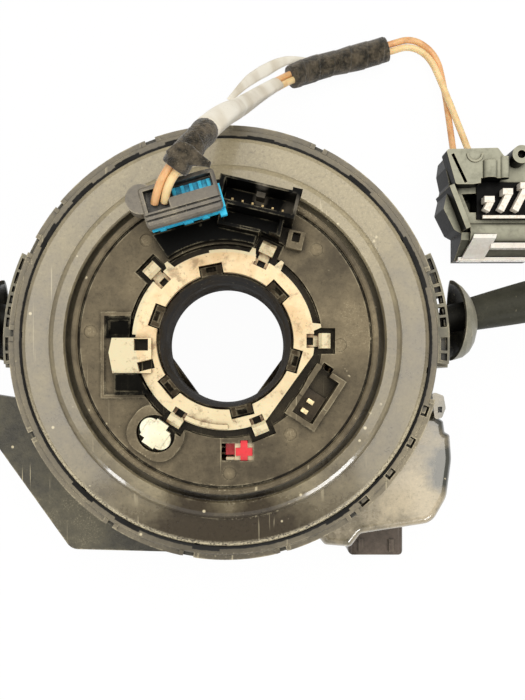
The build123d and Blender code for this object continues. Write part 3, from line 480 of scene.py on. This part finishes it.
# %% Pale top, dark sides
def pale_on_top(name, side, top, top_share):
    """Paler on what faces up and in the open; the sides keep the dye."""
    finish = Finish(name, IOR=1.2, Specular_IOR_Level=0.15)
    facing = finish.node("NewGeometry", output="Normal")
    up = finish.node("SeparateXYZ", values={"Vector": facing}, output="Z")
    fleck = finish.noise(0.0012, 5.0, 0.75)
    cloud = finish.noise(0.007, 3.0, 0.6)
    open_sky = finish.ramp(finish.shade(0.0035, samples=8), 0.35, 0.85)
    uneven = finish.ramp(cloud * 0.6 + fleck * 0.4, 0.25, 0.6, 0.5, 1.0)
    # Paler on faces that point up and lie in the open.
    layer = finish.ramp(up, 0.25, 0.95) * open_sky * uneven
    body = finish.mix(layer * top_share, side, top)
    edge = finish.ramp(near_edges(finish, 0.0005), 0.08, 0.22) * finish.ramp(fleck, 0.35, 0.55)
    body = finish.mix(edge * open_sky * 0.6, body, DUST)
    finish.feed("Base Color", body)
    finish.feed("Roughness", finish.ramp(fleck + layer, 0.3, 1.4, 0.28, 0.55))
    finish.bump(fleck, 0.00003)
    return finish.material


finishes["connector"] = pale_on_top("connector_plastic", rgb(10, 10, 9), rgb(180, 179, 160), 0.92)


# %% Painted highlights on the ribs of a black slide
RIBS_START = 12.5


def ridged(name, height):
    """Black up to a height in millimetres, and white above it as a painted highlight on the rib tops."""
    finish = Finish(name, IOR=1.25, Specular_IOR_Level=0.2)
    above = finish.ramp(finish.along("Z"), height * MM, (height + 0.4) * MM)
    fleck = finish.noise(0.001, 4.0, 0.7)
    white = finish.mix(finish.ramp(fleck, 0.4, 0.7), rgb(252, 246, 236), rgb(226, 214, 196))
    # Painted highlight: the rib tops above the height are white.
    finish.feed("Base Color", finish.mix(above, rgb(8, 8, 8), white))
    finish.feed("Roughness", finish.ramp(fleck, 0.3, 0.7, 0.22, 0.4))
    finish.bump(fleck, 0.00002)
    return finish.material


finishes["ridged"] = ridged("ridged_plastic", RIBS_START)

# %% [markdown]
# The pins are brass, tinned in one socket and dull in another, and the screws, the lock spring and
# the stalks' pins are steel. Bare metal has no dye and no haze, so a full Metallic and a fine
# tarnish that darkens and dulls it are enough.

# %% Metals
def metal(name, colour, rough):
    """Bare metal, duller and darker where it has tarnished."""
    finish = Finish(name, Metallic=1.0)
    tarnish = finish.noise(0.0012, 4.0, 0.7)
    finish.feed("Base Color", finish.mix(finish.ramp(tarnish, 0.4, 0.75), colour, dimmed(colour, 0.55)))
    finish.feed("Roughness", finish.ramp(tarnish, 0.3, 0.7, rough, rough + 0.2))
    return finish.material


finishes |= {
    "tin": metal("tinned_brass", rgb(214, 208, 190), rough=0.22),
    "brass": metal("bare_brass", rgb(214, 196, 156), rough=0.3),
    "dull": metal("dull_brass", rgb(176, 156, 116), rough=0.5),
    "steel": metal("screw_steel", rgb(168, 168, 166), rough=0.3),
}
print(len(finishes), "finishes in all")

# %% [markdown]
# ## Which solid gets which finish
# A dictionary keeps the choice readable. What it leaves out is printed below it, and that has to
# be the solids of the lead, which smoother pieces replace further on.

# %% Dress the solids
WEARS = {
    "carrier": ["switch_carrier"],
    "housing": ["stator_housing"],
    "cover": ["stator_cover"],
    "rotor": ["rotor_disc"],
    "sleeve": ["column_sleeve"],
    "ivory": ["retaining_ring"],
    "header": ["wheel_header"],
    "dark": ["ring_latch", "right_cradle", "left_cradle"],
    "socket": ["vehicle_socket"],
    "plug": ["airbag_plug"],
    "blue": ["plug_lock", "plug_comb"],
    "white": ["lock_plug"],
    "cream": ["mark_card"],
    "red": ["mark_cross"],
    "gloss": ["side_cover"],
    "block": ["right_switch_block", "left_switch_block"],
    "lever": ["right_stalk", "left_stalk"],
    "collar": ["right_dome", "left_dome"],
    "connector": ["far_connector_body"],
    "ridged": ["far_connector_slide"],
    "highlight_white": ["far_connector_bar"],
    "dull": ["header_pins"],
    "tin": ["vehicle_pins"],
    "brass": ["signal_contacts"],
    "steel": ["carrier_screws", "lock_spring", "right_stalk_pin", "left_stalk_pin"],
    "board": ["circuit_board", "board_parts"],
    "film": ["flat_cable"],
}
for wear, names in WEARS.items():
    for name in names:
        data = nodes[name].data
        data.materials.clear()
        data.materials.append(finishes[wear])
dressed = {name for names in WEARS.values() for name in names}
bare = sorted(set(nodes) - dressed)
print("solids left for the lead:", bare)

# %% [markdown]
# ## Small moulded pieces
# A hollow post stands beside the header, a lighter floor lies under the signal contacts, and the
# gaps between the lugs of the rim are closed by the tongues of the half behind it. All three are
# square pieces, so one function makes them: a cube is sized, its hole is inset and pushed down in
# edit mode, it goes to its place, and a Bevel modifier softens the edges as a mould does.

# %% Boxes with softened edges
SOFT_EDGE = 0.12


def box_piece(name, size, place, turn, body, wear, hole=None):
    """Box of a size at a place, in millimetres; a hole is its width, depth and shift along Y."""
    bpy.ops.mesh.primitive_cube_add(size=1.0)
    made = bpy.context.active_object
    made.name = name
    made.scale = scaled(size)
    bpy.ops.object.transform_apply(location=False, rotation=False, scale=True)
    if hole:
        width, depth, shift = hole
        bpy.ops.object.mode_set(mode="EDIT")
        bpy.ops.mesh.select_all(action="DESELECT")
        bpy.ops.object.mode_set(mode="OBJECT")
        for face in made.data.polygons:
            face.select = face.normal.z > 0.9
        bpy.ops.object.mode_set(mode="EDIT")
        bpy.ops.mesh.inset(thickness=(size[0] - width) / 2 * MM)
        bpy.ops.transform.translate(value=(0, shift * MM, 0))
        bpy.ops.mesh.extrude_region_move(TRANSFORM_OT_translate={"value": (0, 0, -depth * MM)})
        bpy.ops.object.mode_set(mode="OBJECT")
    made.location = scaled(place)
    made.rotation_euler = (0, 0, math.radians(turn))
    bpy.ops.object.transform_apply(location=True, rotation=True, scale=True)
    soft = made.modifiers.new("soft_edges", "BEVEL")
    soft.width = SOFT_EDGE * MM
    soft.segments = 2
    bpy.ops.object.modifier_apply(modifier="soft_edges")
    made.data.materials.append(finishes[wear])
    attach(made, body)
    made.select_set(False)


# %% Hollow post
POST_SIZE = (4.2, 4.6, 3.2)
POST_AT = (17.8, 25.3, 51.3)
POST_TURN = -13
POST_HOLE = (1.9, 2.6, 0.7)
box_piece("hollow_post", POST_SIZE, POST_AT, POST_TURN, "rotor", "rotor", POST_HOLE)

# %% Floor of the signal socket
SIGNAL_TURN = 57.0
SIGNAL_AT = (22.98, -14.36)
SIGNAL_FLOOR = (7.4, 5.8, 0.6)
SIGNAL_FLOOR_Z = 46.35
SIGNAL_FLOOR_SHIFT = -2.4
shift_x, shift_y = polar(SIGNAL_FLOOR_SHIFT, SIGNAL_TURN)
signal_place = (SIGNAL_AT[0] + shift_x, SIGNAL_AT[1] + shift_y, SIGNAL_FLOOR_Z)
box_piece("signal_floor", SIGNAL_FLOOR, signal_place, SIGNAL_TURN, "rotor", "floor")

# %% Tongues in the gaps of the rim
RIM_GAPS = (64.25, 110.75, 140.5, 153.25, 177.5, 205.5, 237.5, 260.0, 285.5, 306.5)
TONGUE_SIZE = (1.6, 4.4, 7.6)
TONGUE_R = 56.7
TONGUE_Z = 37.4
for angle in RIM_GAPS:
    box_piece("rim_tongue_" + str(int(angle)), TONGUE_SIZE, (*polar(TONGUE_R, angle), TONGUE_Z), angle,
              "root", "carrier")
print(len(RIM_GAPS), "tongues close the rim")

# %% [markdown]
# ## The lead: two wires
# Each wire is one smooth curve on the route that the solids use, so its length stays true.
# A NURBS of order 3 touches every run of its control polygon in the middle, as a wire does
# that is bent round loose corners, and a round bevel gives it its insulation.

# %% Wires
LEAD_ROUTE = (
    (-15.0, 31.8, 65.65), (-14.0, 34.6, 69.6), (-10.4, 39.4, 71.4), (-4.3, 47.4, 69.0),
    (-0.4, 54.0, 60.8), (3.4, 61.8, 43.5), (9.6, 73.6, 21.5), (17.4, 83.0, 7.8),
    (27.0, 88.0, 4.6), (38.6, 90.7, 4.3), (50.0, 94.2, 3.9), (57.6, 97.0, 2.6),
    (64.6, 92.6, 2.2), (67.6, 83.2, 2.4), (69.8, 72.8, 4.4), (72.2, 59.0, 8.0),
)
WIRE_OFFSETS = (
    (1.2, 0.2, 0.0), (1.0, -0.3, 0.2), (0.8, -0.7, 0.3), (0.8, -0.7, 0.2),
    (1.0, -0.4, 0.0), (1.0, -0.4, 0.0), (0.9, -0.6, 0.0), (0.7, -0.8, 0.1),
    (0.3, -1.1, 0.1), (0.2, -1.1, 0.2), (0.2, -1.1, 0.0), (-0.5, -1.3, 0.1),
    (-1.2, -0.5, 0.6), (-0.6, -0.1, 1.2), (0.6, 0.0, 1.2), (2.6, 0.0, 0.0),
)
WIRE_R = 1.0
WIRE_COLOURS = {
    "wire_tan": (rgb(242, 214, 160), rgb(222, 182, 126)),
    "wire_orange": (rgb(232, 184, 130), rgb(206, 148, 98)),
}
WIRE_SIDES = {"wire_tan": 1, "wire_orange": -1}


def insulation(name, colour, shade):
    """Thin wall PVC: even dye with a faint grime and a soft shine."""
    finish = Finish(name, Subsurface_Weight=0.15, Subsurface_Scale=0.001)
    grime = finish.noise(0.004, 4.0, 0.65)
    finish.feed("Base Color", finish.mix(finish.ramp(grime, 0.4, 0.75), colour, shade))
    finish.feed("Roughness", finish.ramp(grime, 0.3, 0.7, 0.3, 0.5))
    return finish.material


def smooth_line(name, points, radius=0.0):
    """NURBS curve object through a route in millimetres."""
    data = bpy.data.curves.new(name, "CURVE")
    data.dimensions = "3D"
    line = data.splines.new("NURBS")
    line.points.add(len(points) - 1)
    for knot, point in zip(line.points, points):
        knot.co = (*scaled(point), 1.0)
    line.order_u = 3
    line.use_endpoint_u = True
    data.resolution_u = 10
    data.bevel_depth = radius * MM
    data.bevel_resolution = 5
    data.use_fill_caps = True
    curve = bpy.data.objects.new(name, data)
    bpy.context.scene.collection.objects.link(curve)
    return curve


# %% Both wires
def wire_points(side):
    """The lead's route, moved to one side of it."""
    return [tuple(p + side * s for p, s in zip(*pair)) for pair in zip(LEAD_ROUTE, WIRE_OFFSETS)]


wires = {}
for name, side in WIRE_SIDES.items():
    wires[name] = smooth_line(name, wire_points(side), WIRE_R)
    wires[name].data.materials.append(insulation(name + "_insulation", *WIRE_COLOURS[name]))
    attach(wires[name], "root")
    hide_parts("lead_" + name)
print("wires on a route of", len(LEAD_ROUTE), "points")

# %% [markdown]
# ## Cloth tape and paper label
# A tape or a label is a tube that follows the wires, so both start as rings of points placed
# along the route. What differs is the radius: the tape's grows in overlapping turns and is
# pressed flat in places, and the label narrows from the plug to its far end.

# %% Points on the route
def sampled(route, steps):
    """Points on the smooth line through a route, in metres, with steps for each of its runs."""
    guide = smooth_line("guide", route)
    guide.data.resolution_u = steps
    line = guide.to_mesh()
    points = [vertex.co.copy() for vertex in line.vertices]
    guide.to_mesh_clear()
    bpy.data.objects.remove(guide)
    return points


def line_points(first, last, start_share, end_share):
    """Part of the route as a dense smooth line, from inside one run to inside another."""
    route = [Vector(p) for p in LEAD_ROUTE[first:last + 1]]
    route[0] = route[0].lerp(route[1], start_share)
    route[-1] = Vector(LEAD_ROUTE[last - 1]).lerp(Vector(LEAD_ROUTE[last]), end_share)
    return sampled([tuple(p) for p in route], 40)


# %% From points and faces to an object
def as_object(name, mesh):
    """Turn a finished bmesh into an object of the scene."""
    data = bpy.data.meshes.new(name)
    mesh.to_mesh(data)
    mesh.free()
    made = bpy.data.objects.new(name, data)
    bpy.context.scene.collection.objects.link(made)
    return made


def smooth(made):
    """Shade every face smooth."""
    for face in made.data.polygons:
        face.use_smooth = True


# %% Tubes that follow the route
def ring_of_points(mesh, centre, along, reaches):
    """Corners of a tube round its line; each reach is one corner's distance from it."""
    flat = Vector((0, 0, 1)).cross(along).normalized()
    up = along.cross(flat).normalized()
    ring = []
    for j, reach in enumerate(reaches):
        angle = math.tau * j / len(reaches)
        ring.append(mesh.verts.new(centre + reach * (math.cos(angle) * flat + math.sin(angle) * up)))
    return ring


def wrapped_tube(name, points, radius_at, rings, sides):
    """Closed tube; radius_at(share along, angle) gives each point's distance from the line."""
    steps = [0.0]
    for a, b in zip(points, points[1:]):
        steps.append(steps[-1] + (b - a).length)
    total = steps[-1]
    mesh = bmesh.new()
    loops = []
    for i in range(rings + 1):
        share = i / rings
        want = share * total
        k = max(j for j in range(len(steps) - 1) if steps[j] <= want + 1e-12)
        inside = (want - steps[k]) / max(steps[k + 1] - steps[k], 1e-9)
        centre = points[k].lerp(points[k + 1], inside)
        ahead = points[min(k + 2, len(points) - 1)]
        behind = points[max(k - 1, 0)]
        reaches = [radius_at(share, math.tau * j / sides) * MM for j in range(sides)]
        loops.append(ring_of_points(mesh, centre, (ahead - behind).normalized(), reaches))
    for low, high in zip(loops, loops[1:]):
        for j in range(sides):
            mesh.faces.new((low[j], low[(j + 1) % sides], high[(j + 1) % sides], high[j]))
    mesh.faces.new(list(reversed(loops[0])))
    mesh.faces.new(loops[-1])
    bmesh.ops.recalc_face_normals(mesh, faces=mesh.faces)
    tube = as_object(name, mesh)
    smooth(tube)
    print(name, "is", round(total / MM, 1), "mm long")
    return tube


# %% Cloth tape
def fleece():
    """Black fleece tape: fuzzy, with lint and grey fibres."""
    finish = Finish("fleece_tape", Sheen_Weight=0.5, Sheen_Roughness=0.5, Specular_IOR_Level=0.1)
    fuzz = finish.noise(0.0007, 5.0, 0.8)
    lint = finish.noise(0.0024, 4.0, 0.7)
    body = finish.mix(finish.ramp(lint, 0.36, 0.68), rgb(34, 30, 22), rgb(94, 84, 68))
    body = finish.mix(finish.ramp(fuzz, 0.56, 0.7) * 0.7, body, rgb(142, 132, 110))
    finish.feed("Base Color", body)
    finish.feed("Roughness", finish.ramp(fuzz, 0.3, 0.7, 0.8, 1.0))
    finish.bump(fuzz + lint, 0.0003)
    return finish.material


def tape_radius(radius, turns, flat, seed):
    """Overlapping turns, pressed lumps and a frayed surface."""
    def at(share, angle):
        turn = (share * turns + angle / math.tau) % 1.0
        lap = 0.16 * (turn - 0.5)
        lump = 0.22 * math.sin(9.0 * share + seed) * math.cos(2 * angle + 5 * share)
        fray = 0.07 * math.sin(61 * share * turns + 13 * angle + seed) * math.sin(37 * angle + seed)
        squeeze = flat * math.cos(angle) ** 2
        end = 0.25 * (math.exp(-40 * share) + math.exp(-40 * (1 - share)))
        return radius + lap + lump + fray + squeeze - end
    return at


NEAR_TAPE = (1, 4, 0.8, 0.12)
NEAR_WRAP = tape_radius(2.95, turns=2.6, flat=0.2, seed=1.0)
FAR_TAPE = (7, 10, 0.2, 0.95)
FAR_WRAP = tape_radius(3.5, turns=6.0, flat=0.35, seed=4.0)
TUBE_SIDES = 64

tape_finish = fleece()
near_tape = wrapped_tube("cloth_tape_near", line_points(*NEAR_TAPE), NEAR_WRAP, 120, TUBE_SIDES)
far_tape = wrapped_tube("cloth_tape_far", line_points(*FAR_TAPE), FAR_WRAP, 240, TUBE_SIDES)
for tape, node in ((near_tape, "lead_tape_near"), (far_tape, "lead_tape_far")):
    tape.data.materials.append(tape_finish)
    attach(tape, "root")
    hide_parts(node)


# %% Paper label
def paper():
    """White label stock: creased across, smudged in patches."""
    finish = Finish("label_paper", Specular_IOR_Level=0.3, Sheen_Weight=0.1)
    pulp = finish.noise(0.0012, 4.0, 0.7)
    crease = finish.noise(0.01, 2.0, 0.5, (1, 0.2, 1), 0.9)
    body = finish.mix(finish.ramp(crease, 0.4, 0.7), rgb(234, 229, 216), rgb(206, 196, 176))
    smudge = finish.noise(0.0007, 5.0, 0.8)
    where = finish.noise(0.012, 2.0)
    soil = finish.ramp(smudge, 0.6, 0.68) * finish.ramp(where, 0.5, 0.62) * 0.6
    finish.feed("Base Color", finish.mix(soil, body, rgb(112, 98, 78)))
    finish.feed("Roughness", finish.ramp(pulp, 0.3, 0.7, 0.5, 0.7))
    finish.bump(pulp * 0.3 + crease, 0.00012)
    return finish.material


def label_radius(share, angle):
    """The label narrows along the wires, and its glued edge stands up as a ridge."""
    narrow = 3.0 - 1.0 * share
    ridge = 0.5 * math.exp(-((angle - 2.6) / 0.35) ** 2)
    return narrow + ridge + 0.08 * math.sin(7 * share + 3 * angle)


LABEL = (3, 7, 0.1, 0.62)
paper_finish = paper()
label = wrapped_tube("paper_label", line_points(*LABEL), label_radius, 120, TUBE_SIDES)

# %% [markdown]
# The label was folded round the wires like a flag. One end came loose: a narrow tongue bows
# away from the wires and runs under the far tape. It is a ribbon of quads along a smooth line,
# given the thickness of paper by a Solidify modifier.

# %% Loose tongue of the label
LOOSE_END = ((0.9, 63.2, 45.0), (5.2, 73.0, 31.5), (10.0, 80.6, 19.5), (15.4, 86.6, 11.8),
             (20.0, 89.4, 7.6), (24.4, 89.9, 5.2))
LOOSE_END_WIDTHS = (1.4, 3.4, 3.8, 3.2, 2.4, 1.6)
PAPER_THICK = 0.14
CROWN = 0.12


def ribbon(name, points, widths, steps, thickness):
    """Flat strip along a smooth line; its width changes from point to point."""
    line = sampled(points, 12)
    mesh = bmesh.new()
    rows = []
    for i, point in enumerate(line):
        share = i / (len(line) - 1)
        along = (line[min(i + 1, len(line) - 1)] - line[max(i - 1, 0)]).normalized()
        across = Vector((-along.y, along.x, 0.35)).normalized()
        width = float(np.interp(share, np.linspace(0, 1, len(widths)), widths)) * MM
        row = []
        for j in range(steps + 1):
            side = j / steps - 0.5
            crown = Vector((0, 0, CROWN * width * math.cos(math.pi * side)))
            row.append(mesh.verts.new(point + across * (side * width) + crown))
        rows.append(row)
    for low, high in zip(rows, rows[1:]):
        for j in range(steps):
            mesh.faces.new((low[j], low[j + 1], high[j + 1], high[j]))
    strip = as_object(name, mesh)
    thick = strip.modifiers.new("thickness", "SOLIDIFY")
    thick.thickness = thickness * MM
    bpy.context.view_layer.objects.active = strip
    bpy.ops.object.modifier_apply(modifier="thickness")
    smooth(strip)
    return strip


tongue = ribbon("paper_tongue", LOOSE_END, LOOSE_END_WIDTHS, 6, PAPER_THICK)
for piece in (label, tongue):
    piece.data.materials.append(paper_finish)
    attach(piece, "root")
    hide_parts("lead_label")

# %% [markdown]
# The near tape frays where it meets the plug: its last turn opens into a flap that lies over the
# plug's window. It is the same kind of ribbon, a little thicker.

# %% Frayed end of the near tape
FLAP = ((-12.2, 40.6, 72.4), (-10.0, 41.2, 73.4), (-7.6, 40.7, 73.1), (-5.2, 39.9, 72.2),
        (-2.9, 39.2, 71.0))
FLAP_WIDTHS = (2.4, 5.2, 4.6, 2.8, 1.0)
CLOTH_THICK = 0.5
flap = ribbon("cloth_tape_flap", FLAP, FLAP_WIDTHS, 12, CLOTH_THICK)
flap.data.materials.append(tape_finish)
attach(flap, "root")
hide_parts("lead_tape_near")

# %% [markdown]
# A wire is a cord of a known length. Here only the point where each wire leaves the plug is
# worked out.

# %% Where the wires leave the plug
for name, wire in wires.items():
    start = scaled(wire_points(WIRE_SIDES[name])[0])

# %% [markdown]
# ## Studio
# The floor is white paper. To the camera and in reflections it is mostly plain white, as a lit
# backdrop would be, and the rest of it still takes the light, so the shadow stays on it.
# One broad softbox hangs above and a little behind the module, and its mirror image gives the
# upper half of the cover its sheen. A black flag beside it does the opposite: the lower part of
# the cover mirrors it and stays dark. Two small lamps draw the bright lines on the step.

# %% Floor
FLOOR_SIZE = 4.0
SEEN_WHITE = 0.97
bpy.ops.mesh.primitive_plane_add(size=FLOOR_SIZE)
floor = bpy.context.active_object
floor.name = "floor"
pale = Finish("floor_paper", Roughness=0.9, Specular_IOR_Level=0.0)
tone = pale.noise(0.3, 2.0)
pale.feed("Base Color", pale.mix(tone, (0.97, 0.97, 0.97, 1), (0.99, 0.99, 0.99, 1)))
direct = pale.node("LightPath", output="Is Camera Ray")
mirrored = pale.node("LightPath", output="Is Glossy Ray")
share = pale.within(direct + mirrored) * SEEN_WHITE
glow = pale.node("Emission", values={"Strength": 1.0})
lit = Value(pale, pale.surface.outputs[0])
blend = pale.node("MixShader", values={0: share, 1: lit, 2: glow})
pale.tree.links.new(blend.socket, pale.tree.nodes["Material Output"].inputs["Surface"])
floor.data.materials.append(pale.material)

# %% Surround
ROOM_LIGHT = 0.42
WHITE = (1, 1, 1, 1)
world = bpy.data.worlds.new("surround")
bpy.context.scene.world = world
world.use_nodes = True
tree = world.node_tree
plain = tree.nodes["Background"]
plain.inputs["Color"].default_value = WHITE
plain.inputs["Strength"].default_value = ROOM_LIGHT
backdrop = tree.nodes.new("ShaderNodeBackground")
backdrop.inputs["Color"].default_value = WHITE
backdrop.inputs["Strength"].default_value = 1.0
path = tree.nodes.new("ShaderNodeLightPath")
choice = tree.nodes.new("ShaderNodeMixShader")
tree.links.new(path.outputs["Is Camera Ray"], choice.inputs[0])
tree.links.new(plain.outputs[0], choice.inputs[1])
tree.links.new(backdrop.outputs[0], choice.inputs[2])
tree.links.new(choice.outputs[0], tree.nodes["World Output"].inputs["Surface"])


# %% Lamps
MIDDLE = Vector((0, 0, 0.045))
WARM = (1.0, 0.96, 0.88)


def soft_lamp(name, place, width, height, power, colour=(1, 1, 1)):
    """Rectangular lamp that faces the middle of the module."""
    lamp = bpy.data.lights.new(name, "AREA")
    lamp.color = colour
    lamp.shape = "RECTANGLE"
    lamp.size = width
    lamp.size_y = height
    lamp.energy = power
    made = bpy.data.objects.new(name, lamp)
    made.location = place
    made.rotation_euler = (MIDDLE - Vector(place)).to_track_quat("-Z", "Y").to_euler()
    bpy.context.scene.collection.objects.link(made)
    print(name, "of", power, "W")


def low_place(compass, height, reach):
    """Point at a compass angle and a height angle, both in degrees, reach metres from the middle."""
    rise = math.radians(height)
    return (*polar(reach * math.cos(rise), compass), MIDDLE.z + reach * math.sin(rise))


soft_lamp("overhead_softbox", (0.0, 0.16, 0.80), width=1.1, height=0.80, power=6.4, colour=WARM)
soft_lamp("right_strip", low_place(-51.5, 32, 0.6), width=0.19, height=0.09, power=0.75)
soft_lamp("left_strip", low_place(-132, 31, 0.6), width=0.07, height=0.09, power=0.3)

# %% Black flag
FLAG_WIDTH = 0.42
FLAG_LENGTH = 0.5
FLAG_Y = -0.39
FLAG_Z = 0.77
bpy.ops.mesh.primitive_plane_add(size=1.0)
flag = bpy.context.active_object
flag.name = "black_flag"
for corner in flag.data.vertices:
    corner.co = Vector((corner.co.x * FLAG_WIDTH, corner.co.y * FLAG_LENGTH + FLAG_Y, FLAG_Z))
black = Finish("black_cloth", Base_Color=(0.01, 0.01, 0.01, 1), Roughness=1.0, Specular_IOR_Level=0.0)
flag.data.materials.append(black.material)
flag.visible_camera = False
flag.visible_diffuse = False
flag.visible_shadow = False

bpy.context.scene.view_settings.view_transform = "Standard"
